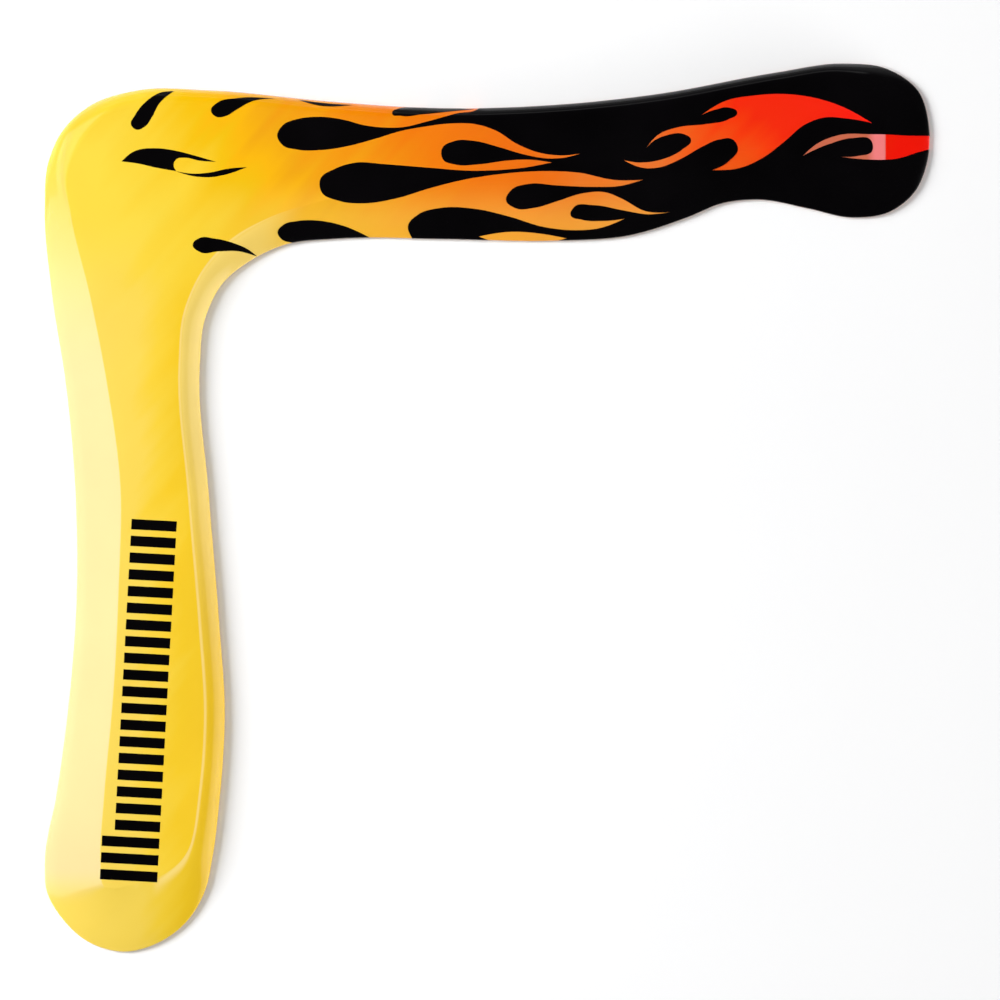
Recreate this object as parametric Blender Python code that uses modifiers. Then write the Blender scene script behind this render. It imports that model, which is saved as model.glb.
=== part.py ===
"""A right-handed returning boomerang, shaped from birch plywood and enamelled.

Two arms meet at a rounded elbow, nearly at a right angle. The blank is ten crossed birch veneers. Its
edges are shaped like a wing: rounded where the arm leads, and cut to a long flat bevel where it trails.
A ground enamel covers the top and the edges, and a black enamel covers the end of the upper arm over it,
with a flame-shaped front. The underside is flat, bare wood.

The model lies flat, decorated side up: +X along the upper arm, +Y away from the lower arm, +Z up.
Its origin is under the middle of its box, on the surface it lies on.
"""
import math

import bmesh
import bpy
import numpy as np

MM = 0.001

# The blank
VENEER_COUNT = 10
VENEER_PITCH = 0.5
GLUE_LINE = 0.05
BLANK_TOP = VENEER_COUNT * VENEER_PITCH - GLUE_LINE

# The shaped edge, in mm above the underside
UNDER_CHAMFER = 0.4
LEADING_NOSE = 1.8
TRAILING_NOSE = 0.9

# The enamels: how far each one's inner face stands off the wood, and how thick it is
GROUND_OFFSET = 0.10
GROUND_THICKNESS = 0.12
GROUND_RIM = 0.45
BLACK_OFFSET = 0.26
BLACK_THICKNESS = 0.08
BLACK_RIM = 0.55

# How finely the outline and the shaped edge are divided
STEPS_PER_STATION = 3
EDGE_BANDS = 5

# One station: where the outline is (x, y), where its bevel meets the flat top (x, y), both in mm,
# and how straight the cut between them is, from 0 for rounded over to 1 for a flat bevel.
STATIONS = [
    # outside of the elbow
    (-110.5, 112.5, -107.5, 108.5, 0.2),
    (-118.0, 106.0, -113.0, 101.5, 0.1),
    (-122.5, 96.5, -117.0, 93.0, 0.5),
    # trailing edge of the lower arm, out to its tip
    (-123.5, 84.0, -116.0, 82.0, 1.0),
    (-121.5, 60.0, -110.5, 59.0, 1.0),
    (-117.5, 34.0, -105.5, 33.0, 1.0),
    (-115.0, 6.0, -102.0, 6.0, 1.0),
    (-114.5, -22.0, -102.5, -22.0, 1.0),
    (-116.5, -52.0, -104.0, -52.0, 1.0),
    (-120.0, -79.0, -106.5, -80.0, 1.0),
    (-123.5, -100.0, -107.5, -99.0, 1.0),
    # tip of the lower arm
    (-123.0, -107.0, -107.0, -104.5, 1.0),
    (-118.5, -115.0, -104.0, -106.0, 1.0),
    (-111.0, -121.5, -101.0, -105.5, 1.0),
    (-101.5, -124.0, -97.0, -104.5, 1.0),
    (-92.0, -121.5, -92.5, -103.0, 0.9),
    (-84.0, -115.5, -88.0, -100.5, 0.8),
    (-79.0, -107.0, -84.5, -97.0, 0.6),
    (-77.0, -98.0, -82.5, -93.0, 0.5),
    # leading edge of the lower arm, back to the elbow
    (-75.0, -82.0, -80.5, -80.0, 0.4),
    (-73.5, -57.0, -79.0, -57.0, 0.4),
    (-75.0, -33.0, -80.5, -33.0, 0.4),
    (-78.0, 4.0, -83.5, 4.0, 0.5),
    (-80.5, 40.0, -86.0, 41.0, 0.5),
    # inside of the elbow
    (-79.0, 53.0, -84.5, 55.0, 0.5),
    (-74.0, 63.0, -79.0, 67.0, 0.5),
    (-66.0, 69.5, -71.0, 75.5, 0.6),
    (-56.0, 74.0, -60.0, 81.5, 0.8),
    # trailing edge of the upper arm, out to its tip
    (-43.0, 75.5, -45.0, 86.0, 1.0),
    (-14.0, 75.5, -15.0, 90.0, 1.0),
    (20.0, 75.0, 20.0, 91.0, 1.0),
    (40.0, 76.5, 42.0, 92.0, 1.0),
    (56.0, 81.5, 59.0, 95.5, 1.0),
    (66.0, 85.5, 68.0, 99.0, 1.0),
    (76.0, 86.5, 77.0, 100.5, 1.0),
    (90.0, 84.0, 91.0, 98.5, 1.0),
    (102.0, 81.5, 103.0, 95.5, 1.0),
    # tip of the upper arm
    (112.5, 83.0, 108.5, 95.0, 1.0),
    (119.5, 88.5, 110.9, 97.5, 1.0),
    (123.0, 97.0, 111.0, 101.0, 1.0),
    (123.5, 106.5, 110.8, 106.5, 1.0),
    (120.5, 116.5, 108.5, 112.0, 0.9),
    (112.0, 122.5, 104.5, 116.5, 0.5),
    (99.5, 124.0, 98.0, 119.0, 0.1),
    # leading edge of the upper arm, back to the elbow
    (81.0, 121.5, 80.0, 116.5, 0.0),
    (48.0, 115.5, 47.5, 110.5, 0.0),
    (20.0, 112.5, 20.0, 108.0, 0.0),
    (-12.0, 111.5, -12.0, 107.0, 0.0),
    (-45.0, 113.5, -45.0, 109.0, 0.0),
    (-77.0, 116.5, -77.0, 112.0, 0.0),
    (-98.0, 116.5, -97.0, 112.0, 0.1),
]

# The edge of the black enamel, in mm: down its flame-shaped front from the upper rim to the lower one,
# then round the end of the arm, clear of it. The third value is True at a flame's sharp tip.
BLACK_EDGE = [
    (-2.0, 116.0, False),
    (-10.0, 109.5, False),
    (-30.0, 107.5, False),
    (-48.0, 108.5, False),
    (-58.0, 103.5, False),
    (-45.0, 99.5, False),
    (-24.0, 104.0, False),
    (-5.0, 105.5, False),
    (8.0, 100.5, False),
    (25.5, 99.0, True),
    (5.0, 95.0, False),
    (-20.0, 94.5, False),
    (-38.0, 95.0, False),
    (-46.5, 90.0, False),
    (-35.0, 85.5, False),
    (-15.0, 89.0, False),
    (10.0, 92.5, False),
    (42.5, 91.5, True),
    (20.0, 86.0, False),
    (-5.0, 83.0, False),
    (-20.0, 80.5, False),
    (-19.0, 70.0, True),
    (135.0, 70.0, True),
    (135.0, 130.0, True),
    (10.0, 130.0, True),
]
BLACK_EDGE_RESOLUTION = 3

WOOD = ("birch", (0.72, 0.52, 0.31), 0.55)
GROUND = ("ground_enamel", (0.93, 0.62, 0.04), 0.25)
BLACK = ("black_enamel", (0.006, 0.005, 0.006), 0.2)


def clear_scene():
    for obj in list(bpy.data.objects):
        bpy.data.objects.remove(obj, do_unlink=True)


def new_collection(name):
    collection = bpy.data.collections.new(name)
    bpy.context.scene.collection.children.link(collection)
    return collection


def make_material(name, colour, roughness):
    material = bpy.data.materials.new(name)
    material.use_nodes = True
    shader = material.node_tree.nodes["Principled BSDF"]
    shader.inputs["Base Color"].default_value = (*colour, 1.0)
    shader.inputs["Roughness"].default_value = roughness
    shader.inputs["Metallic"].default_value = 0.0
    return material


def add_object(name, bm, material, collection):
    bmesh.ops.recalc_face_normals(bm, faces=bm.faces)
    mesh = bpy.data.meshes.new(name)
    bm.to_mesh(mesh)
    bm.free()
    mesh.materials.append(material)
    mesh.shade_smooth()
    mesh.set_sharp_from_angle(angle=math.radians(30))
    obj = bpy.data.objects.new(name, mesh)
    collection.objects.link(obj)
    return obj


def smooth_loop(stations, steps):
    """A closed smooth curve through every station, with so many points from one station to the next."""
    points = np.array(stations, float)
    after = np.roll(points, -1, axis=0)
    gap = np.linalg.norm((after - points)[:, :2], axis=1)[:, None]
    gap_before = np.roll(gap, 1, axis=0)
    slope = (after - points) / gap
    slope_before = np.roll(slope, 1, axis=0)
    tangent = (slope_before * gap + slope * gap_before) / (gap + gap_before)
    tangent_after = np.roll(tangent, -1, axis=0)
    rows = []
    for step in range(steps):
        t = step / steps
        start = (2 * t**3 - 3 * t**2 + 1) * points + (t**3 - 2 * t**2 + t) * gap * tangent
        end = (3 * t**2 - 2 * t**3) * after + (t**3 - t**2) * gap * tangent_after
        rows.append(start + end)
    return np.stack(rows, axis=1).reshape(-1, points.shape[1])


def outward_normals(outline):
    """Unit vectors in plan that point away from the wood, for an outline that runs anticlockwise."""
    along = np.roll(outline, -1, axis=0) - np.roll(outline, 1, axis=0)
    normals = np.stack([along[:, 1], -along[:, 0]], axis=1)
    return normals / np.linalg.norm(normals, axis=1)[:, None]


LOOP = smooth_loop(STATIONS, STEPS_PER_STATION)
BOX_MIDDLE = (LOOP[:, 0:2].min(axis=0) + LOOP[:, 0:2].max(axis=0)) / 2
OUTLINE = LOOP[:, 0:2] - BOX_MIDDLE
CREST = LOOP[:, 2:4] - BOX_MIDDLE
STRAIGHT = np.clip(LOOP[:, 4], 0.0, 1.0)
NORMALS = outward_normals(OUTLINE)
NOSE = LEADING_NOSE + (TRAILING_NOSE - LEADING_NOSE) * STRAIGHT


def plan_at(height):
    """The wood's outline in plan at a height, or at one height for each point of the loop."""
    rise = np.clip((height - NOSE) / (BLANK_TOP - NOSE), 0.0, 1.0)
    rounded = 1.0 - np.sqrt(1.0 - rise**2)
    inward = STRAIGHT * rise + (1.0 - STRAIGHT) * rounded
    chamfer = np.clip(UNDER_CHAMFER - height, 0.0, None) * np.ones(len(OUTLINE))
    return OUTLINE + (CREST - OUTLINE) * inward[:, None] - NORMALS * chamfer[:, None]


def ring_points(plan, height):
    heights = height * np.ones(len(plan))
    return [(x * MM, y * MM, z * MM) for (x, y), z in zip(plan, heights)]


def stack_rings(rings):
    """A strip of faces from each closed ring of points up to the next one."""
    bm = bmesh.new()
    loops = [[bm.verts.new(point) for point in ring] for ring in rings]
    for lower, upper in zip(loops, loops[1:]):
        for i in range(len(lower)):
            j = (i + 1) % len(lower)
            bm.faces.new((lower[i], lower[j], upper[j], upper[i]))
    return bm, loops


def make_veneer(number, material, collection):
    """One flat sheet of the blank, cut to the shaped edge at its own height."""
    bottom = (number - 1) * VENEER_PITCH
    top = bottom + VENEER_PITCH - GLUE_LINE
    heights = [bottom, top]
    if number == 1:
        heights.insert(1, UNDER_CHAMFER)
    bm, loops = stack_rings([ring_points(plan_at(height), height) for height in heights])
    bm.faces.new(loops[0][::-1])
    bm.faces.new(loops[-1])
    return add_object(f"veneer_{number:02d}", bm, material, collection)


def make_coat(name, offset, thickness, rim, material, collection):
    """A film of enamel over the top and the edges, open underneath."""
    grown = NORMALS * offset
    rings = [ring_points(OUTLINE + grown, rim)]
    for band in range(EDGE_BANDS + 1):
        rise = math.sin(math.pi / 2 * band / EDGE_BANDS)
        height = NOSE + rise * (BLANK_TOP - NOSE)
        rings.append(ring_points(plan_at(height) + grown, height + offset))
    bm, loops = stack_rings(rings)
    bm.faces.new(loops[-1])
    coat = add_object(name, bm, material, collection)
    film = coat.modifiers.new("film", "SOLIDIFY")
    film.thickness = thickness * MM
    film.offset = 1.0
    film.use_even_offset = True
    return coat


def make_black_edge(collection):
    """A tall block of the black enamel's outline, which its film is cut to."""
    curve = bpy.data.curves.new("black_edge", "CURVE")
    curve.dimensions = "2D"
    curve.fill_mode = "BOTH"
    curve.extrude = 10 * MM
    curve.resolution_u = BLACK_EDGE_RESOLUTION
    spline = curve.splines.new("BEZIER")
    spline.bezier_points.add(len(BLACK_EDGE) - 1)
    for point, (x, y, sharp) in zip(spline.bezier_points, BLACK_EDGE):
        point.co = (x * MM, y * MM, 0.0)
        point.handle_left_type = "VECTOR" if sharp else "AUTO"
        point.handle_right_type = "VECTOR" if sharp else "AUTO"
    spline.use_cyclic_u = True
    guide = bpy.data.objects.new("black_edge_guide", curve)
    collection.objects.link(guide)
    bpy.context.view_layer.update()
    evaluated = guide.evaluated_get(bpy.context.evaluated_depsgraph_get())
    mesh = bpy.data.meshes.new_from_object(evaluated)
    bpy.data.objects.remove(guide, do_unlink=True)
    bm = bmesh.new()
    bm.from_mesh(mesh)
    bmesh.ops.remove_doubles(bm, verts=bm.verts, dist=0.00001)
    bmesh.ops.recalc_face_normals(bm, faces=bm.faces)
    bm.to_mesh(mesh)
    bm.free()
    cutter = bpy.data.objects.new("black_edge", mesh)
    cutter.hide_render = True
    cutter.display_type = "WIRE"
    collection.objects.link(cutter)
    return cutter


def make_boomerang():
    clear_scene()
    parts = new_collection("boomerang")
    cutters = new_collection("cutters")
    wood = make_material(*WOOD)
    for number in range(1, VENEER_COUNT + 1):
        make_veneer(number, wood, parts)
    make_coat("ground_enamel", GROUND_OFFSET, GROUND_THICKNESS, GROUND_RIM, make_material(*GROUND), parts)
    black = make_coat("black_enamel", BLACK_OFFSET, BLACK_THICKNESS, BLACK_RIM, make_material(*BLACK), parts)
    cut = black.modifiers.new("flame_front", "BOOLEAN")
    cut.operation = "INTERSECT"
    cut.solver = "EXACT"
    cut.object = make_black_edge(cutters)


make_boomerang()
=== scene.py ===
"""A right-handed boomerang of birch plywood, enamelled with flames, lying on a pale table."""
import math

import bmesh
import bpy
import numpy as np
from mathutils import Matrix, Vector


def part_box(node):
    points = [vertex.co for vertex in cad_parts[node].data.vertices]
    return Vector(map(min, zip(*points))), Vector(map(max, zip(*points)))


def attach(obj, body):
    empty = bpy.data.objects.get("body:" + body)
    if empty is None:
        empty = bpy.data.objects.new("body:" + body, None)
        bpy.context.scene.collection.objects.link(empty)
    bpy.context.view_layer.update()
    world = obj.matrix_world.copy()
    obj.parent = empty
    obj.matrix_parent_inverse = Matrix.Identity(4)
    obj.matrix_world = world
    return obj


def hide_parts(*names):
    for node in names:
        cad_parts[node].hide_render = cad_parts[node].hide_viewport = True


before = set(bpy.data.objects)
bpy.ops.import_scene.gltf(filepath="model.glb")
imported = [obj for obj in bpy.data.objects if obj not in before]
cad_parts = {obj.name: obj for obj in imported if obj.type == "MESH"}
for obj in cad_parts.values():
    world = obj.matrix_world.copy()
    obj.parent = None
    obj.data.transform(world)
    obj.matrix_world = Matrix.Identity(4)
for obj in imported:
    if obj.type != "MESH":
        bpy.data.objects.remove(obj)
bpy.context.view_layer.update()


# ---- Camera -------------------------------------------------------------------------------------
# It hangs straight above the boomerang, at arm's length and a bit more, with the upper arm pointing
# to the right and the lower arm pointing down.

MM = 0.001
CAMERA_HEIGHT = 1.2
CAMERA_VIEW = 280 * MM
CAMERA_AIM = (3.6 * MM, 2.2 * MM)
SENSOR_WIDTH = 36.0

camera_data = bpy.data.cameras.new("camera")
camera_data.sensor_width = SENSOR_WIDTH
camera_data.lens = camera_data.sensor_width * CAMERA_HEIGHT / CAMERA_VIEW
camera = bpy.data.objects.new("camera", camera_data)
camera.location = (*CAMERA_AIM, CAMERA_HEIGHT)
bpy.context.scene.collection.objects.link(camera)
bpy.context.scene.camera = camera


# ---- Ground enamel ------------------------------------------------------------------------------
# The first coat: a thin film of gloss enamel, sprayed over the shaped top and down the edges of the
# blank, from yellow at the elbow to red at the end of the upper arm. The blank under it has rounded
# leading edges, long flat bevels on the trailing edges and a flat cut at each tip.

# One station of the blank's edge: where the outline is (x, y), where its bevel meets the flat top
# (x, y), both in mm, and how straight the cut between them is, from 0, rounded over, to 1, flat.
EDGE_STATIONS = [
    # outside of the elbow
    (-110.5, 112.5, -107.5, 108.5, 0.2),
    (-118.0, 106.0, -113.0, 101.5, 0.1),
    (-122.5, 96.5, -117.0, 93.0, 0.5),
    # trailing edge of the lower arm, out to its tip
    (-123.5, 84.0, -116.0, 82.0, 1.0),
    (-121.5, 60.0, -110.5, 59.0, 1.0),
    (-117.5, 34.0, -105.5, 33.0, 1.0),
    (-115.0, 6.0, -102.0, 6.0, 1.0),
    (-114.5, -22.0, -102.5, -22.0, 1.0),
    (-116.5, -52.0, -104.0, -52.0, 1.0),
    (-120.0, -79.0, -106.5, -80.0, 1.0),
    (-123.5, -100.0, -107.5, -99.0, 1.0),
    # tip of the lower arm
    (-123.0, -107.0, -107.0, -104.5, 1.0),
    (-118.5, -115.0, -104.0, -106.0, 1.0),
    (-111.0, -121.5, -101.0, -105.5, 1.0),
    (-101.5, -124.0, -97.0, -104.5, 1.0),
    (-92.0, -121.5, -92.5, -103.0, 0.9),
    (-84.0, -115.5, -88.0, -100.5, 0.8),
    (-79.0, -107.0, -84.5, -97.0, 0.6),
    (-77.0, -98.0, -82.5, -93.0, 0.5),
    # leading edge of the lower arm, back to the elbow
    (-75.0, -82.0, -80.5, -80.0, 0.4),
    (-73.5, -57.0, -79.0, -57.0, 0.4),
    (-75.0, -33.0, -80.5, -33.0, 0.4),
    (-78.0, 4.0, -83.5, 4.0, 0.5),
    (-80.5, 40.0, -86.0, 41.0, 0.5),
    # inside of the elbow
    (-79.0, 53.0, -84.5, 55.0, 0.5),
    (-74.0, 63.0, -79.0, 67.0, 0.5),
    (-66.0, 69.5, -71.0, 75.5, 0.6),
    (-56.0, 74.0, -60.0, 81.5, 0.8),
    # trailing edge of the upper arm, out to its tip
    (-43.0, 75.5, -45.0, 86.0, 1.0),
    (-14.0, 75.5, -15.0, 90.0, 1.0),
    (20.0, 75.0, 20.0, 91.0, 1.0),
    (40.0, 76.5, 42.0, 92.0, 1.0),
    (56.0, 81.5, 59.0, 95.5, 1.0),
    (66.0, 85.5, 68.0, 99.0, 1.0),
    (76.0, 86.5, 77.0, 100.5, 1.0),
    (90.0, 84.0, 91.0, 98.5, 1.0),
    (102.0, 81.5, 103.0, 95.5, 1.0),
    # tip of the upper arm
    (112.5, 83.0, 108.5, 95.0, 1.0),
    (119.5, 88.5, 110.9, 97.5, 1.0),
    (123.0, 97.0, 111.0, 101.0, 1.0),
    (123.5, 106.5, 110.8, 106.5, 1.0),
    (120.5, 116.5, 108.5, 112.0, 0.9),
    (112.0, 122.5, 104.5, 116.5, 0.5),
    (99.5, 124.0, 98.0, 119.0, 0.1),
    # leading edge of the upper arm, back to the elbow
    (81.0, 121.5, 80.0, 116.5, 0.0),
    (48.0, 115.5, 47.5, 110.5, 0.0),
    (20.0, 112.5, 20.0, 108.0, 0.0),
    (-12.0, 111.5, -12.0, 107.0, 0.0),
    (-45.0, 113.5, -45.0, 109.0, 0.0),
    (-77.0, 116.5, -77.0, 112.0, 0.0),
    (-98.0, 116.5, -97.0, 112.0, 0.1),
]
POINTS_PER_STATION = 8
EDGE_BANDS = 6
BLANK_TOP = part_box("veneer_10")[1].z / MM
LEADING_NOSE = 1.8
TRAILING_NOSE = 0.9
GROUND_OFFSET = 0.10
GROUND_THICKNESS = 0.12
GROUND_RIM = 0.45
CREST_ROUNDING = 0.9
CREST_SEGMENTS = 4
NOSE_ROUNDING = 0.3
NOSE_SEGMENTS = 3
SHARP_ANGLE = math.radians(40)


def smooth_loop(stations, steps):
    """A closed smooth curve through the stations, with so many points from each to the next."""
    points = np.array(stations, float)
    after = np.roll(points, -1, axis=0)
    gap = np.linalg.norm((after - points)[:, :2], axis=1)[:, None]
    gap_before = np.roll(gap, 1, axis=0)
    slope = (after - points) / gap
    slope_before = np.roll(slope, 1, axis=0)
    tangent = (slope_before * gap + slope * gap_before) / (gap + gap_before)
    tangent_after = np.roll(tangent, -1, axis=0)
    rows = []
    for step in range(steps):
        t = step / steps
        start = (2 * t**3 - 3 * t**2 + 1) * points + (t**3 - 2 * t**2 + t) * gap * tangent
        end = (3 * t**2 - 2 * t**3) * after + (t**3 - t**2) * gap * tangent_after
        rows.append(start + end)
    return np.stack(rows, axis=1).reshape(-1, points.shape[1])


def outward_normals(outline):
    """The way out of the wood, in plan, at each point of an outline that runs anticlockwise."""
    along = np.roll(outline, -1, axis=0) - np.roll(outline, 1, axis=0)
    normals = np.stack([along[:, 1], -along[:, 0]], axis=1)
    return normals / np.linalg.norm(normals, axis=1)[:, None]


edge_loop = smooth_loop(EDGE_STATIONS, POINTS_PER_STATION)
box_middle = (edge_loop[:, 0:2].min(axis=0) + edge_loop[:, 0:2].max(axis=0)) / 2
outline = edge_loop[:, 0:2] - box_middle
crest = edge_loop[:, 2:4] - box_middle
straight = np.clip(edge_loop[:, 4], 0.0, 1.0)
nose = LEADING_NOSE + (TRAILING_NOSE - LEADING_NOSE) * straight
out_of_wood = outward_normals(outline)


def plan_at(height):
    """The blank's outline in plan, in mm, at one height or at a height for each of its points."""
    rise = np.clip((height - nose) / (BLANK_TOP - nose), 0.0, 1.0)
    rounded = 1.0 - np.sqrt(1.0 - rise**2)
    inward = straight * rise + (1.0 - straight) * rounded
    return outline + (crest - outline) * inward[:, None]


def edge_rings(offset, rim):
    """The rings of a film that stands off the wood: its rim, then up the edge to the flat top."""
    grown = out_of_wood * offset
    level = np.ones(len(outline))
    rings = [np.column_stack([outline + grown, level * rim])]
    for band in range(EDGE_BANDS + 1):
        height = nose + math.sin(math.pi / 2 * band / EDGE_BANDS) * (BLANK_TOP - nose)
        rings.append(np.column_stack([plan_at(height) + grown, height + offset]))
    return rings


def edge_loop_of(ring):
    """The edges that join a closed ring of vertices, in order."""
    return [next(edge for edge in one.link_edges if edge.other_vert(one) == after)
            for one, after in zip(ring, ring[1:] + ring[:1])]


def raise_skin(rings):
    """A skin that is drawn up from its lowest ring through the others and closed by a flat top."""
    bm = bmesh.new()
    ring = bmesh.ops.create_circle(bm, segments=len(rings[0]), radius=1.0)["verts"]
    loops = []
    for points in rings:
        if loops:
            below = set(bm.verts)
            bmesh.ops.extrude_edge_only(bm, edges=edge_loop_of(ring))
            ring = [next(edge.other_vert(vert) for edge in vert.link_edges
                         if edge.other_vert(vert) not in below) for vert in ring]
        for vert, point in zip(ring, points):
            vert.co = Vector(point) * MM
        loops.append(ring)
    bmesh.ops.contextual_create(bm, geom=edge_loop_of(ring))
    bmesh.ops.recalc_face_normals(bm, faces=bm.faces)
    return bm, loops


def round_over(bm, edges, width, segments):
    bmesh.ops.bevel(bm, geom=edges, offset=width * MM, offset_type="OFFSET", segments=segments,
                    profile=0.5, affect="EDGES", clamp_overlap=True, material=-1)


def add_piece(name, bm, material):
    mesh = bpy.data.meshes.new(name)
    bm.to_mesh(mesh)
    bm.free()
    mesh.materials.append(material)
    mesh.shade_smooth()
    piece = bpy.data.objects.new(name, mesh)
    bpy.context.scene.collection.objects.link(piece)
    return piece


def settle(piece):
    """Takes what the modifiers make of a piece as its mesh."""
    bpy.context.view_layer.update()
    evaluated = piece.evaluated_get(bpy.context.evaluated_depsgraph_get())
    piece.data = bpy.data.meshes.new_from_object(evaluated)
    piece.modifiers.clear()
    piece.data.set_sharp_from_angle(angle=SHARP_ANGLE)
    return piece


def spray_film(name, offset, thickness, rim, material):
    """A closed film of enamel over the top and the edges of the blank."""
    bm, loops = raise_skin(edge_rings(offset, rim))
    nose_edges = edge_loop_of(loops[1])
    crest_edges = edge_loop_of(loops[-1])
    round_over(bm, crest_edges, CREST_ROUNDING, CREST_SEGMENTS)
    round_over(bm, nose_edges, NOSE_ROUNDING, NOSE_SEGMENTS)
    film = add_piece(name, bm, material)
    wall = film.modifiers.new("film", "SOLIDIFY")
    wall.thickness = thickness * MM
    wall.offset = 1.0
    wall.use_even_offset = True
    return settle(film)


def srgb(red, green, blue):
    """A colour as a maker reads it off a chart, 0 to 255, in the shader's linear light."""
    shares = [channel / 255 for channel in (red, green, blue)]
    linear = [share / 12.92 if share <= 0.04045 else ((share + 0.055) / 1.055) ** 2.4
              for share in shares]
    return (*linear, 1.0)


def add_node(tree, kind, settings=None, **inputs):
    """A node with its settings. An input is named, or numbered as _0, _1 and so on."""
    node = tree.nodes.new(kind)
    for name, value in (settings or {}).items():
        setattr(node, name, value)
    for name, value in inputs.items():
        socket = node.inputs[int(name[1:]) if name[0] == "_" else name.replace("_", " ")]
        if isinstance(value, bpy.types.NodeSocket):
            tree.links.new(value, socket)
        else:
            socket.default_value = value
    return node


def calculate(tree, operation, one, other=0.0, third=0.0):
    node = add_node(tree, "ShaderNodeMath", {"operation": operation}, _0=one, _1=other, _2=third)
    return node.outputs[0]


def fade(tree, value, low, high):
    """0 below low, 1 above high and smooth between; low may be above high."""
    node = add_node(tree, "ShaderNodeMapRange", {"interpolation_type": "SMOOTHSTEP"},
                    Value=value, From_Min=min(low, high), From_Max=max(low, high),
                    To_Min=0.0 if low < high else 1.0, To_Max=1.0 if low < high else 0.0)
    return node.outputs["Result"]


def blend_colours(tree, share, one, other, mode="MIX"):
    """The one colour going over to the other as the share goes from 0 to 1."""
    node = add_node(tree, "ShaderNodeMix", {"data_type": "RGBA", "blend_type": mode})
    for socket, value in ((0, share), (6, one), (7, other)):
        if isinstance(value, bpy.types.NodeSocket):
            tree.links.new(value, node.inputs[socket])
        else:
            node.inputs[socket].default_value = value
    return node.outputs[2]


def tint_where(tree, colour, shares, strength, tint):
    """A tint laid over a colour, as strong as it gets where all the shares are 1."""
    cover = strength
    for share in shares:
        cover = calculate(tree, "MULTIPLY", share, cover)
    return blend_colours(tree, cover, colour, srgb(*tint))


def grey(value):
    return (value, value, value, 1.0)


def colour_ramp(tree, value, stops):
    node = add_node(tree, "ShaderNodeValToRGB", None, Fac=value)
    ramp = node.color_ramp
    while len(ramp.elements) < len(stops):
        ramp.elements.new(0.5)
    for element, (place, colour) in zip(ramp.elements, stops):
        element.position = place
        element.color = colour
    return node.outputs["Color"]


def new_finish(name, **values):
    """A material with one Principled shader, whose plain values are set on its own sockets."""
    material = bpy.data.materials.new(name)
    material.use_nodes = True
    tree = material.node_tree
    shader = tree.nodes["Principled BSDF"]
    for socket, value in values.items():
        shader.inputs[socket.replace("_", " ")].default_value = value
    return material, tree, shader


PEEL_SCALE = 620.0
GRAIN_TURN = math.radians(-45)
GRAIN_SCALE = (60.0, 1400.0, 60.0)
MOTTLE_SCALE = 34.0
MOTTLE_ROUGHNESS = 0.08
DUST_SCALE = 2600.0
DUST_HEIGHT = 0.12


def make_enamel_surface():
    """Sprayed gloss enamel: an orange-peel skin, wood grain showing through, and fine dust."""
    group = bpy.data.node_groups.new("enamel_surface", "ShaderNodeTree")
    for name, value in (("Peel", 0.5), ("Grain", 0.3), ("Roughness", 0.1)):
        socket = group.interface.new_socket(name, in_out="INPUT", socket_type="NodeSocketFloat")
        socket.default_value = value
    for name in ("Height", "Roughness", "Mottle"):
        group.interface.new_socket(name, in_out="OUTPUT", socket_type="NodeSocketFloat")
    given = group.nodes.new("NodeGroupInput")
    result = group.nodes.new("NodeGroupOutput")
    place = add_node(group, "ShaderNodeTexCoord").outputs["Object"]
    peel = add_node(group, "ShaderNodeTexNoise", None,
                    Vector=place, Scale=PEEL_SCALE, Detail=2.0, Roughness=0.45)
    turned = add_node(group, "ShaderNodeMapping", None,
                      Vector=place, Rotation=(0.0, 0.0, GRAIN_TURN), Scale=GRAIN_SCALE)
    grain = add_node(group, "ShaderNodeTexNoise", None,
                     Vector=turned.outputs[0], Scale=1.0, Detail=3.0)
    cloud = add_node(group, "ShaderNodeTexNoise", None,
                     Vector=place, Scale=MOTTLE_SCALE, Detail=3.0, Roughness=0.55)
    dust = add_node(group, "ShaderNodeTexNoise", None, Vector=place, Scale=DUST_SCALE, Detail=1.0)
    specks = fade(group, dust.outputs["Fac"], 0.70, 0.78)
    height = calculate(group, "MULTIPLY", peel.outputs["Fac"], given.outputs["Peel"])
    height = calculate(group, "MULTIPLY_ADD", grain.outputs["Fac"], given.outputs["Grain"], height)
    height = calculate(group, "MULTIPLY_ADD", specks, DUST_HEIGHT, height)
    soft = calculate(group, "MULTIPLY_ADD", cloud.outputs["Fac"], MOTTLE_ROUGHNESS,
                     given.outputs["Roughness"])
    group.links.new(height, result.inputs["Height"])
    group.links.new(soft, result.inputs["Roughness"])
    group.links.new(cloud.outputs["Fac"], result.inputs["Mottle"])
    return group


def lay_surface(tree, shader, peel, grain, roughness, depth):
    """Puts the enamel's surface on a shader and gives its soft mottle."""
    surface = add_node(tree, "ShaderNodeGroup", {"node_tree": enamel_surface},
                       Peel=peel, Grain=grain, Roughness=roughness)
    bump = add_node(tree, "ShaderNodeBump", None, Strength=1.0, Distance=depth * MM,
                    Height=surface.outputs["Height"])
    tree.links.new(bump.outputs["Normal"], shader.inputs["Normal"])
    tree.links.new(surface.outputs["Roughness"], shader.inputs["Roughness"])
    return surface.outputs["Mottle"]


enamel_surface = make_enamel_surface()

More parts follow.
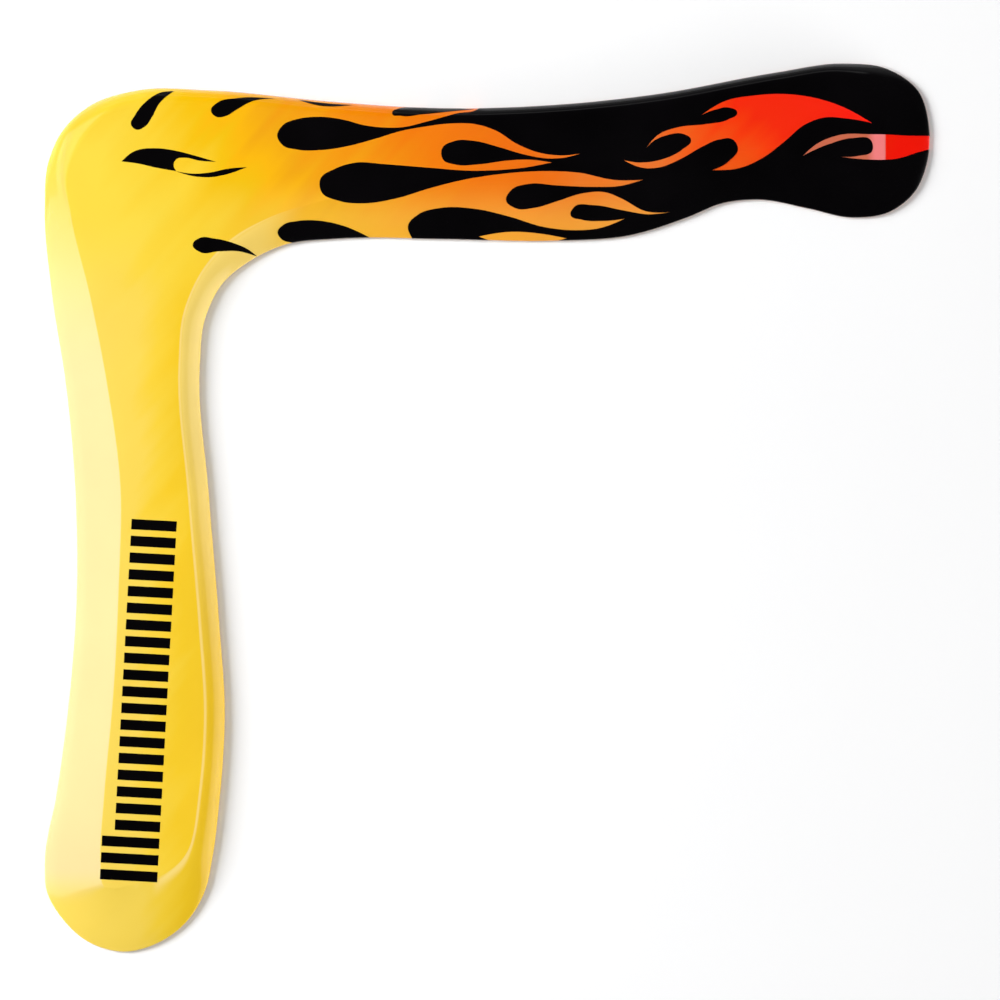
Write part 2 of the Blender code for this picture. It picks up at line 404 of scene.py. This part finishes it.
# The sprayed colours, each at its place in mm from left to right, and how they slant and streak.
UPPER_ARM_SPRAY = [
    (-112, (246, 214, 66)),
    (-92, (245, 206, 50)),
    (-75, (242, 191, 4)),
    (-64, (248, 182, 0)),
    (-52, (240, 166, 8)),
    (-18, (242, 124, 0)),
    (10, (238, 110, 8)),
    (34, (236, 122, 40)),
    (46, (234, 114, 42)),
    (60, (244, 92, 18)),
    (70, (248, 76, 8)),
    (76, (252, 58, 0)),
    (82, (250, 40, 0)),
    (118, (255, 22, 4)),
]
# The lower arm's yellow is paler towards its left side: a painted fall-off of the light from the
# left, over the sprayed yellow.
LOWER_ARM_SPRAY_AND_LIGHT_FALLOFF = [
    (-118, (248, 216, 92)),
    (-98, (247, 213, 84)),
    (-92, (246, 208, 58)),
    (-85, (244, 201, 38)),
    (-78, (243, 198, 36)),
]
SPRAY_SLANT = 0.55
SPRAY_SLANT_START = 65
SPRAY_SLANT_MIDDLE = 100
LOWER_ARM_START = (85, 50)
STREAK_TURN = math.radians(48)
STREAK_SIZE = (90 * MM, 7.5 * MM, 100 * MM)
UPPER_STREAK_REACH = 35
LOWER_STREAK_REACH = 20
FLAME_SLOPE = 0.59
INWARD_SLOPE = 0.6

# Tints laid one over another: painted highlights on the trailing bevel, leading edge and crest of
# the lower arm and on the trailing bevel of the upper arm, a painted shade on the outside of the
# elbow, and a paler, duller tone over the last flame with a pink one at its end. Each has its
# strength, its colour and its limits. Each limit gives a measure, where the tint begins on it and
# where it is full. Along is X, across is Y, and rise is Y above a line with the last flame's slope,
# all in mm. A lean is how far the skin faces along, or in towards the bend of the arms, from -1 to
# 1.
LIGHT_AND_FLAME_TINTS = {
    # painted shade: a darker tone where the skin faces left, on the outside of the elbow
    "painted_shade_outside_of_elbow": (0.9, (214, 182, 50), [("lean_along", -0.06, -0.38), ("across", 40, 90)]),
    # painted highlight: a pale tone where the trailing bevel of the lower arm faces left
    "painted_highlight_on_trailing_bevel_of_lower_arm": (0.9, (229, 208, 146), [
        ("lean_along", -0.12, -0.24), ("across", 104, 35), ("across", -112, -100)]),
    # painted highlight: a pale cream tone on the leading rim of the lower arm, where it faces right
    "painted_highlight_on_leading_edge_of_lower_arm": (0.75, (255, 226, 128), [
        ("lean_inward", 0.08, 0.3), ("along", -50, -65), ("across", -60, 40)]),
    # painted highlight: a thin pale line along the crest of the lower arm's leading edge
    "painted_highlight_on_crest_of_lower_arm": (0.6, (255, 228, 150), [
        ("lean_inward", 0.05, 0.10), ("lean_inward", 0.24, 0.15), ("along", -50, -65),
        ("lean_along", 0.04, 0.075), ("across", -110, -103)]),
    # painted highlight: a pale peach tone on the trailing bevel of the upper arm, next to the elbow
    "painted_highlight_on_trailing_bevel_of_upper_arm": (0.36, (252, 205, 84), [
        ("across", 93, 79), ("along", -85, -55)]),
    "last_flame": (1.0, (208, 108, 78), [
        ("rise", 51.5, 50.0), ("along", 80, 86), ("along", 111.3, 110.7),
        ("across", 106.5, 104.8)]),
    "end_of_last_flame": (1.0, (246, 130, 130), [
        ("rise", 51.5, 50.0), ("along", 80, 86), ("along", 111.3, 110.7),
        ("across", 106.5, 104.8), ("along", 105.5, 108.5)]),
}


def spray_ramp(tree, reach, stops):
    """The colour of the spray where reach, in metres, has come to the stops, which are in mm."""
    start = stops[0][0] * MM
    length = stops[-1][0] * MM - start
    share = calculate(tree, "MULTIPLY_ADD", reach, 1 / length, -start / length)
    return colour_ramp(tree, share, [((place * MM - start) / length, srgb(*colour))
                                     for place, colour in stops])


def make_ground_finish():
    """Yellow, gold, orange and red sprayed into one another on a slant along the upper arm."""
    material, tree, shader = new_finish("ground_enamel_finish",
                                        Coat_Weight=0.6, Coat_Roughness=0.06)
    place = add_node(tree, "ShaderNodeTexCoord")
    where = add_node(tree, "ShaderNodeSeparateXYZ", None, _0=place.outputs["Object"])
    facing = add_node(tree, "ShaderNodeSeparateXYZ", None, _0=place.outputs["Normal"])
    along, across = where.outputs["X"], where.outputs["Y"]
    mottle = lay_surface(tree, shader, peel=0.5, grain=0.35, roughness=0.12, depth=0.006)
    # the passes of the spray gun leave faint slanted streaks
    passes = add_node(tree, "ShaderNodeMapping", {"vector_type": "TEXTURE"},
                      Vector=place.outputs["Object"], Rotation=(0.0, 0.0, STREAK_TURN),
                      Scale=STREAK_SIZE)
    streak = add_node(tree, "ShaderNodeTexNoise", None,
                      Vector=passes.outputs[0], Scale=1.0, Detail=2.0)
    streak = calculate(tree, "SUBTRACT", streak.outputs["Fac"], 0.5)
    slant = calculate(tree, "MAXIMUM", across, SPRAY_SLANT_START * MM)
    slant = calculate(tree, "SUBTRACT", slant, SPRAY_SLANT_MIDDLE * MM)
    reach = calculate(tree, "MULTIPLY_ADD", slant, SPRAY_SLANT, along)
    reach = calculate(tree, "MULTIPLY_ADD", streak, UPPER_STREAK_REACH * MM, reach)
    colour = spray_ramp(tree, reach, UPPER_ARM_SPRAY)
    # the lower arm's yellow, paler to the left as painted light
    reach = calculate(tree, "MULTIPLY_ADD", streak, LOWER_STREAK_REACH * MM, along)
    lower_arm = fade(tree, across, *(place * MM for place in LOWER_ARM_START))
    colour = blend_colours(tree, lower_arm, colour, spray_ramp(tree, reach, LOWER_ARM_SPRAY_AND_LIGHT_FALLOFF))
    measures = {
        "along": (along, MM),
        "across": (across, MM),
        "rise": (calculate(tree, "MULTIPLY_ADD", along, -FLAME_SLOPE, across), MM),
        "lean_along": (facing.outputs["X"], 1.0),
        "lean_inward": (calculate(tree, "MULTIPLY_ADD", facing.outputs["Y"], -INWARD_SLOPE,
                                  facing.outputs["X"]), 1.0),
    }
    # painted highlights and a painted shade, laid over the spray by where the skin faces and lies,
    # and the last flame's duller tones
    for strength, tint, limits in LIGHT_AND_FLAME_TINTS.values():
        shares = []
        for name, begins, full in limits:
            measure, unit = measures[name]
            shares.append(fade(tree, measure, begins * unit, full * unit))
        colour = tint_where(tree, colour, shares, strength, tint)
    shade = colour_ramp(tree, mottle, [(0.3, grey(0.95)), (0.7, grey(1.0))])
    colour = blend_colours(tree, 1.0, colour, shade, "MULTIPLY")
    tree.links.new(colour, shader.inputs["Base Color"])
    return material


ground = spray_film("ground_coat", GROUND_OFFSET, GROUND_THICKNESS, GROUND_RIM,
                    make_ground_finish())
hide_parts("ground_enamel")
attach(ground, "root")


# ---- Black enamel -------------------------------------------------------------------------------
# The second coat: black gloss enamel, sprayed over the ground through masks of cut film. It covers
# the upper arm from the flames to the tip, keeps off the flames that lick along it, and ends in
# drops that break off ahead of them round the elbow.

BLACK_OFFSET = 0.225
BLACK_THICKNESS = 0.03
BLACK_RIM = 0.5
MASK_DEPTH = 20.0
MASK_STEPS = 8
WELD_DISTANCE = 0.002
FIELD_SPREAD = 0.22
DROP_SPREAD = -0.03

# Each shape is a list of strokes of the cutting knife, in mm. A stroke starts at a sharp tip, runs
# smoothly through its points, and ends at the tip where the next stroke starts.
FLAME_FIELD = [
    [(-0.2, 114.2), (-2.2, 111.4), (-8.6, 109.8), (-16.4, 107.6), (-23.7, 105.9), (-28.2, 105.8),
     (-34.4, 106.5), (-40, 108), (-46.1, 108.8), (-52.3, 108.3), (-56.8, 106.5), (-58.3, 103.9),
     (-57, 101.4), (-52.8, 100.1), (-46.1, 100), (-38.8, 101.1), (-31, 103.2), (-23.7, 105.4),
     (-17.6, 106.5), (-10.3, 107.4), (-2.7, 107.1), (2.9, 105.2), (8.2, 101.8), (14.4, 99.3),
     (20, 98.5)],
    [(26.1, 98.8), (22.5, 97.6), (17.2, 97.2), (10.4, 98.3), (3.2, 100.4), (-3.6, 102.1),
     (-8.9, 102.1), (-12.4, 100), (-12.2, 97.4), (-8.6, 95.9), (-2.4, 96), (6, 97.1), (12.1, 97.3)],
    [(18, 96.3), (13.2, 95.1), (5.1, 94.1), (-4.7, 93.8), (-15.9, 94.6), (-28.5, 95.6), (-36.9, 96),
     (-42.2, 94.4), (-46.4, 91.3), (-46.1, 88.4), (-41.1, 85.8), (-34.4, 85.2), (-25.7, 86.5),
     (-15.9, 89.4), (-6.1, 91.8), (3.7, 93.3), (14.9, 94.1), (26.1, 93.6), (35.1, 91.7)],
    [(43.5, 91.5), (37.9, 89.7), (29.5, 89.3), (19.4, 89.7), (11.6, 90.1), (6.8, 88.4), (5.5, 85.9),
     (7.9, 83.9), (13.2, 84), (19.4, 85.8), (26.7, 88), (32.8, 88.3), (37.9, 86.4), (44, 83.2)],
    [(51.3, 82.7), (45.7, 81.8), (37.9, 82.9), (29.5, 84.3), (24.4, 83.8), (23.5, 82.2),
     (26.7, 80.7), (32.3, 80.4)],
    [(38.4, 80.8), (32.8, 78.3), (24.4, 77.4), (15.8, 78.3), (6, 81.2), (-3.6, 83.3), (-13.1, 83.5),
     (-19.2, 81.7), (-21.9, 78.7), (-20.8, 75.5)],
    [(-18.7, 72.7)],
    [(129.7, 72.7)],
    [(129.7, 128.2)],
    [(-0.2, 128.2)],
]
BIG_FLAME = [
    [(38.2, 96.9), (42.9, 96.5), (49.1, 97.5), (54.4, 100.2), (56.6, 102.7), (54.4, 104.1),
     (50.2, 103.7), (46.8, 102.3)],
    [(44.3, 100.3), (47.4, 104.1), (53, 106.3), (60.8, 107.2), (67.3, 108.6), (69.5, 110.3),
     (67.3, 111.4), (63.6, 110.8)],
    [(59.7, 109.5), (65.9, 113.5), (74.3, 115.2), (84.9, 115.5), (93.9, 113.9), (101.2, 111.1)],
    [(107.3, 107.3), (100.6, 108.3), (93.9, 108.6), (88.6, 106.6), (83.2, 102.1), (77.1, 97.5),
     (70.4, 94.6)],
    [(62.8, 94.2), (67.3, 96.9), (69.7, 100.3), (68.4, 102.5), (64.8, 102.5), (59.7, 100.3),
     (54.1, 97.1), (47.4, 94.6), (42.4, 94.8)],
]
TIP_FLAME = [
    [(87.9, 98.1), (91.4, 101.4), (97.8, 104.1), (107.3, 104.4), (117.1, 104.2)],
    [(125.5, 104.1)],
    [(125.5, 100.7), (121, 99.3), (114.3, 97.2), (106.2, 96.9)],
    [(98.4, 97.9), (103.1, 98.3), (107.3, 100), (107, 102.1), (102, 102.9), (95.6, 101.3)],
]
RIM_FLAME = [
    [(-2.4, 75.9), (4.8, 77.3), (13.2, 77.1)],
    [(22.2, 75.4), (14.9, 73.3), (5.1, 73.3)],
]
DROPS = [
    [[(-87.5, 116.3), (-91.4, 112.7), (-93.4, 109), (-95.5, 106.2), (-98, 105.5), (-99.3, 107),
      (-98.3, 109.3), (-94.8, 113.6), (-90.9, 116)]],
    [[(-59.2, 114.2), (-65.2, 113.5), (-70, 110.9), (-72.9, 109.2), (-75.7, 109.1), (-77, 110.7),
      (-75.2, 113), (-70, 114.3)]],
    [[(-52.8, 114), (-47.8, 113.3), (-42.8, 112.8)],
     [(-37.7, 112.5), (-42.2, 112), (-46.1, 112.1), (-49.8, 112.9)]],
    [[(-101.9, 96.6), (-98.5, 99.4), (-92.3, 100.3), (-85.9, 99.4), (-80.3, 97.9)],
     [(-75.6, 96.5), (-80.3, 96.8), (-84.3, 97.6), (-86.6, 97.2), (-87.4, 95.6)],
     [(-86.6, 93.9), (-92.2, 94.8), (-97, 95.9)]],
    [[(-86.9, 93.9), (-81.6, 92.4), (-76.9, 92.2), (-72.2, 93.1)],
     [(-67.0, 95), (-72.2, 94.6), (-76.9, 93.6), (-81.6, 93.2)]],
    [[(-64.3, 70.3), (-66.6, 72.1), (-70.5, 73.8), (-75.8, 75.1), (-80.3, 75.2), (-82.1, 73.4),
      (-80.3, 71.4), (-74.8, 71.5), (-69.6, 71.6)]],
    [[(-33, 75.7), (-40, 78.8), (-46.7, 80.2), (-52.8, 80.1), (-57, 78.9), (-58.5, 76.9),
      (-57.5, 75.1), (-54.5, 74.1), (-48.1, 74.1), (-39.7, 74.1)]],
    [[(-3.9, 111.3), (-8.6, 110.8), (-18.4, 109.7), (-23.9, 109.3), (-26.5, 110.3), (-24.6, 111.5),
      (-18.7, 111.9), (-10.3, 111.9)]],
]


def stroke_handles(points, spread):
    """The Bezier knots of a stroke that runs smoothly between its tips.

    Each knot is a point and its handles. Between the tips the paint spreads out to the right of the
    stroke's way, or draws back from it where the spread is negative."""
    points = [Vector(point) for point in points]
    knots = [[point, point, point] for point in points]
    for i in range(1, len(points) - 1):
        back = points[i] - points[i - 1]
        ahead = points[i + 1] - points[i]
        ratio = ahead.length / back.length
        way = (back * ratio + ahead / ratio).normalized()
        place = points[i] + Vector((way.y, -way.x)) * spread
        # as long as an arc's handle would be, so that the blunt ends come out round
        reach_back = back.length / (1.5 + 1.5 * way.dot(back) / back.length)
        reach_ahead = ahead.length / (1.5 + 1.5 * way.dot(ahead) / ahead.length)
        knots[i] = [place, place - way * reach_back, place + way * reach_ahead]
    if len(points) > 2:
        knots[0][2] = (points[0] + knots[1][1]) / 2
        knots[-1][1] = (points[-1] + knots[-2][2]) / 2
    return knots


def turn_of(shape):
    """1 for a shape whose strokes run anticlockwise, -1 for clockwise."""
    points = [Vector(point) for stroke in shape for point in stroke]
    area = sum(one.cross(after) for one, after in zip(points, points[1:] + points[:1]))
    return 1 if area > 0 else -1


def cut_mask(shapes, spread):
    """A tall block for each shape, whose sides cut the film. The holes lie inside another shape."""
    curve = bpy.data.curves.new("mask", "CURVE")
    curve.dimensions = "2D"
    curve.fill_mode = "BOTH"
    curve.extrude = MASK_DEPTH * MM
    curve.resolution_u = MASK_STEPS
    for shape, is_hole in shapes:
        outwards = spread * turn_of(shape) * (-1 if is_hole else 1)
        knots = []
        for stroke, following in zip(shape, shape[1:] + shape[:1]):
            cut = stroke_handles(stroke + following[:1], outwards)
            if knots:
                knots[-1][2] = cut.pop(0)[2]
            knots += cut
        knots[0][1] = knots.pop()[1]
        spline = curve.splines.new("BEZIER")
        spline.bezier_points.add(len(knots) - 1)
        spline.use_cyclic_u = True
        for knot, (point, before, after) in zip(spline.bezier_points, knots):
            knot.co = (*(point * MM), 0.0)
            knot.handle_left = (*(before * MM), 0.0)
            knot.handle_right = (*(after * MM), 0.0)
    guide = bpy.data.objects.new("mask_guide", curve)
    bpy.context.scene.collection.objects.link(guide)
    bpy.context.view_layer.update()
    evaluated = guide.evaluated_get(bpy.context.evaluated_depsgraph_get())
    mesh = bpy.data.meshes.new_from_object(evaluated)
    bpy.data.objects.remove(guide)
    bm = bmesh.new()
    bm.from_mesh(mesh)
    bmesh.ops.remove_doubles(bm, verts=bm.verts, dist=WELD_DISTANCE * MM)
    bmesh.ops.recalc_face_normals(bm, faces=bm.faces)
    bm.to_mesh(mesh)
    bm.free()
    mask = bpy.data.objects.new("mask", mesh)
    bpy.context.scene.collection.objects.link(mask)
    return mask


def join_cut_edges(film):
    """Does away with the points that the knife leaves in the middle of an edge."""
    bm = bmesh.new()
    bm.from_mesh(film.data)
    bmesh.ops.dissolve_verts(bm, verts=[vert for vert in bm.verts if len(vert.link_edges) == 2])
    bm.to_mesh(film.data)
    bm.free()


def spray_masked(name, shapes, spread, material):
    """A film of black enamel that covers only the shapes, spread a little past or short of them."""
    film = spray_film(name, BLACK_OFFSET, BLACK_THICKNESS, BLACK_RIM, material)
    mask = cut_mask(shapes, spread)
    cut = film.modifiers.new("mask", "BOOLEAN")
    cut.operation = "INTERSECT"
    cut.solver = "EXACT"
    cut.object = mask
    settle(film)
    join_cut_edges(film)
    bpy.data.objects.remove(mask)
    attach(film, "root")
    return film


def make_black_finish():
    material, tree, shader = new_finish("black_enamel_finish", Specular_IOR_Level=0.4)
    mottle = lay_surface(tree, shader, peel=0.5, grain=0.35, roughness=0.08, depth=0.006)
    colour = colour_ramp(tree, mottle, [(0.35, (0.0010, 0.0008, 0.0010, 1.0)),
                                        (0.7, (0.0022, 0.0018, 0.0022, 1.0))])
    tree.links.new(colour, shader.inputs["Base Color"])
    return material


black_finish = make_black_finish()
flame_field = [(FLAME_FIELD, False), (BIG_FLAME, True), (TIP_FLAME, True), (RIM_FLAME, True)]
field = spray_masked("black_flame_field", flame_field, FIELD_SPREAD, black_finish)
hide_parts("black_enamel")
spray_masked("black_drops", [(drop, False) for drop in DROPS], DROP_SPREAD, black_finish)


# ---- Printed bars -------------------------------------------------------------------------------
# A line of plain bars along the lower arm, screen-printed in the same black as the flames. The
# first three reach further across than the rest, and the line leans a little with the arm.

BASE_START = (-92.0, -104.4)
BASE_END = (-86.4, -2.0)
BAR_COUNT = 22
BAR_LENGTH = 12.6
FIRST_BAR_LENGTH = 16.0
FIRST_BARS = 3
BAR_SHARE = 0.62


def lay_out_bars():
    """The corners of each bar, from the foot of the line near the tip up towards the elbow."""
    start = Vector(BASE_START)
    run = Vector(BASE_END) - start
    pitch = run / BAR_COUNT
    across_arm = Vector((-run.y, run.x)).normalized()
    bars = []
    for number in range(BAR_COUNT):
        length = FIRST_BAR_LENGTH if number < FIRST_BARS else BAR_LENGTH
        low = start + pitch * number
        high = low + pitch * BAR_SHARE
        corners = [low, high, high + across_arm * length, low + across_arm * length]
        bars.append(([[tuple(corner)] for corner in corners], False))
    return bars


spray_masked("printed_bars", lay_out_bars(), 0.0, black_finish)


# ---- Birch veneers ------------------------------------------------------------------------------
# The blank: ten sheets of rotary-cut birch, half a millimetre each, glued with their grain crossed.
# Only the first shows. Its underside is sanded flat, chamfered all round and lacquered clear.

GRAIN_ANGLE = 42
VENEER_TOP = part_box("veneer_01")[1].z / MM
UNDER_CHAMFER = 0.4
CHAMFER_ROUNDING = 0.12
CHAMFER_SEGMENTS = 2
GROWTH_LINES = 95.0
GRAIN_RELIEF = 0.012


def make_birch_figure():
    """Rotary-cut birch: long fibres, broad slow bands, darker growth lines and short flecks."""
    group = bpy.data.node_groups.new("birch_figure", "ShaderNodeTree")
    for name in ("Angle", "Shift"):
        group.interface.new_socket(name, in_out="INPUT", socket_type="NodeSocketFloat")
    group.interface.new_socket("Colour", in_out="OUTPUT", socket_type="NodeSocketColor")
    group.interface.new_socket("Height", in_out="OUTPUT", socket_type="NodeSocketFloat")
    given = group.nodes.new("NodeGroupInput")
    result = group.nodes.new("NodeGroupOutput")
    place = add_node(group, "ShaderNodeTexCoord").outputs["Object"]
    turn = add_node(group, "ShaderNodeVectorRotate", {"rotation_type": "Z_AXIS"},
                    Vector=place, Angle=given.outputs["Angle"]).outputs[0]
    moved = add_node(group, "ShaderNodeVectorMath", {"operation": "ADD"}, _0=turn)
    group.links.new(given.outputs["Shift"], moved.inputs[1])
    spot = moved.outputs[0]

    def streaks(lengthwise, crosswise, detail, roughness=0.5):
        stretched = add_node(group, "ShaderNodeVectorMath", {"operation": "MULTIPLY"},
                             _0=spot, _1=(lengthwise, crosswise, lengthwise))
        noise = add_node(group, "ShaderNodeTexNoise", None, Vector=stretched.outputs[0],
                         Scale=1.0, Detail=detail, Roughness=roughness, Distortion=0.4)
        return noise.outputs["Fac"]

    bands = streaks(lengthwise=6.0, crosswise=70.0, detail=3.0)
    fibres = streaks(lengthwise=40.0, crosswise=1900.0, detail=4.0, roughness=0.65)
    growth = calculate(group, "SINE", calculate(group, "MULTIPLY", bands, GROWTH_LINES))
    growth = fade(group, growth, 0.45, 1.0)
    flecks = fade(group, streaks(lengthwise=330.0, crosswise=3200.0, detail=1.0), 0.68, 0.76)
    colour = colour_ramp(group, bands, [(0.28, srgb(214, 172, 118)), (0.5, srgb(226, 190, 138)),
                                        (0.72, srgb(236, 206, 158))])
    colour = tint_where(group, colour, [growth], 0.30, (186, 138, 86))
    colour = tint_where(group, colour, [fade(group, fibres, 0.62, 0.38)], 0.28, (176, 126, 76))
    colour = tint_where(group, colour, [flecks], 0.55, (132, 84, 48))
    height = calculate(group, "MULTIPLY_ADD", flecks, -0.7, fibres)
    group.links.new(colour, result.inputs["Colour"])
    group.links.new(height, result.inputs["Height"])
    return group


def make_birch_finish(name, angle, shift, lacquer):
    """Birch with its grain at an angle, bare or under a clear lacquer."""
    material, tree, shader = new_finish(name, Roughness=0.5,
                                        Coat_Weight=lacquer, Coat_Roughness=0.16)
    figure = add_node(tree, "ShaderNodeGroup", {"node_tree": birch_figure},
                      Angle=angle, Shift=shift)
    bump = add_node(tree, "ShaderNodeBump", None, Strength=1.0, Distance=GRAIN_RELIEF * MM,
                    Height=figure.outputs["Height"])
    worn = add_node(tree, "ShaderNodeMapRange", None,
                    Value=figure.outputs["Height"], To_Min=0.42, To_Max=0.56)
    tree.links.new(figure.outputs["Colour"], shader.inputs["Base Color"])
    tree.links.new(worn.outputs["Result"], shader.inputs["Roughness"])
    tree.links.new(bump.outputs["Normal"], shader.inputs["Normal"])
    return material


birch_figure = make_birch_figure()
for number in range(2, 11):
    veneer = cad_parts[f"veneer_{number:02d}"]
    crossed = math.radians(-GRAIN_ANGLE if number % 2 else 90 - GRAIN_ANGLE)
    finish = make_birch_finish(f"birch_{number:02d}", crossed, 0.37 * number, lacquer=0.0)
    veneer.data.materials.clear()
    veneer.data.materials.append(finish)

level = np.ones(len(outline))
inner = outline - out_of_wood * UNDER_CHAMFER
bm, loops = raise_skin([np.column_stack([inner, level * 0.0]),
                        np.column_stack([outline, level * UNDER_CHAMFER]),
                        np.column_stack([outline, level * VENEER_TOP])])
bmesh.ops.contextual_create(bm, geom=edge_loop_of(loops[0]))
bmesh.ops.recalc_face_normals(bm, faces=bm.faces)
round_over(bm, edge_loop_of(loops[0]), CHAMFER_ROUNDING, CHAMFER_SEGMENTS)
lacquered_birch = make_birch_finish("lacquered_birch", math.radians(-GRAIN_ANGLE), 0.0, lacquer=0.7)
back = add_piece("back_veneer", bm, lacquered_birch)
back.data.set_sharp_from_angle(angle=SHARP_ANGLE)
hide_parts("veneer_01")
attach(back, "root")


# ---- Table and light ----------------------------------------------------------------------------
# A plain white table in soft studio light: a key low on the left, a long low light on the right
# that lifts the leading rim, and a weak wide one overhead. Each light either lights the paint or
# shows in its gloss, and none that shows hangs over the flat top, so that the black stays deep.

TABLE_SIZE = 12.0


def make_table():
    bm = bmesh.new()
    bmesh.ops.create_grid(bm, x_segments=1, y_segments=1, size=TABLE_SIZE / 2)
    material, tree, shader = new_finish("table_finish", Roughness=0.6, Specular_IOR_Level=0.2)
    place = add_node(tree, "ShaderNodeTexCoord").outputs["Object"]
    cloud = add_node(tree, "ShaderNodeTexNoise", None, Vector=place, Scale=5.0, Detail=3.0)
    colour = colour_ramp(tree, cloud.outputs["Fac"], [(0.3, grey(0.95)), (0.7, grey(0.97))])
    tree.links.new(colour, shader.inputs["Base Color"])
    table = add_piece("table", bm, material)


def add_softbox(name, azimuth, lean, distance, width, height, radiance, mirrored):
    """A soft light aimed at the origin, at an azimuth round from +X and a lean down from straight
    up, both in degrees. It shows only in the gloss where mirrored, and else only in the shading."""
    data = bpy.data.lights.new(name, "AREA")
    data.shape = "RECTANGLE"
    data.size = width
    data.size_y = height
    data.energy = radiance * math.pi * width * height
    light = bpy.data.objects.new(name, data)
    turn = math.radians(azimuth)
    tilt = math.radians(lean)
    way = Vector((math.cos(turn) * math.sin(tilt), math.sin(turn) * math.sin(tilt), math.cos(tilt)))
    light.location = way * distance
    light.rotation_euler = way.to_track_quat("Z", "Y").to_euler()
    light.visible_camera = False
    light.visible_glossy = mirrored
    light.visible_diffuse = not mirrored
    bpy.context.scene.collection.objects.link(light)


def light_room():
    """A room that is dark overhead and pale near the horizon."""
    world = bpy.data.worlds.new("room")
    world.use_nodes = True
    tree = world.node_tree
    way = add_node(tree, "ShaderNodeTexCoord").outputs["Generated"]
    up = add_node(tree, "ShaderNodeSeparateXYZ", None, _0=way).outputs["Z"]
    shade = colour_ramp(tree, up, [
        (0.0, (0.42, 0.42, 0.42, 1.0)), (0.28, (0.32, 0.32, 0.33, 1.0)),
        (0.5, (0.03, 0.03, 0.034, 1.0)), (1.0, (0.01, 0.01, 0.012, 1.0))])
    tree.links.new(shade, tree.nodes["Background"].inputs["Color"])
    bpy.context.scene.world = world


make_table()
light_room()
add_softbox("key", azimuth=162, lean=60, distance=1.8,
            width=0.9, height=0.9, radiance=18.5, mirrored=False)
add_softbox("overhead_fill", azimuth=0, lean=0, distance=2.2,
            width=2.6, height=2.6, radiance=0.75, mirrored=False)
add_softbox("right_fill", azimuth=-22, lean=82, distance=1.8,
            width=1.8, height=0.42, radiance=13.5, mirrored=False)
add_softbox("left_softbox", azimuth=172, lean=48, distance=1.6,
            width=1.6, height=1.5, radiance=1.1, mirrored=True)
add_softbox("back_strip", azimuth=92, lean=58, distance=1.7,
            width=1.6, height=0.15, radiance=0.7, mirrored=True)
add_softbox("right_panel", azimuth=-12, lean=74, distance=1.8,
            width=2.4, height=1.2, radiance=0.8, mirrored=True)
bpy.context.scene.view_settings.view_transform = "Standard"
bpy.context.view_layer.update()
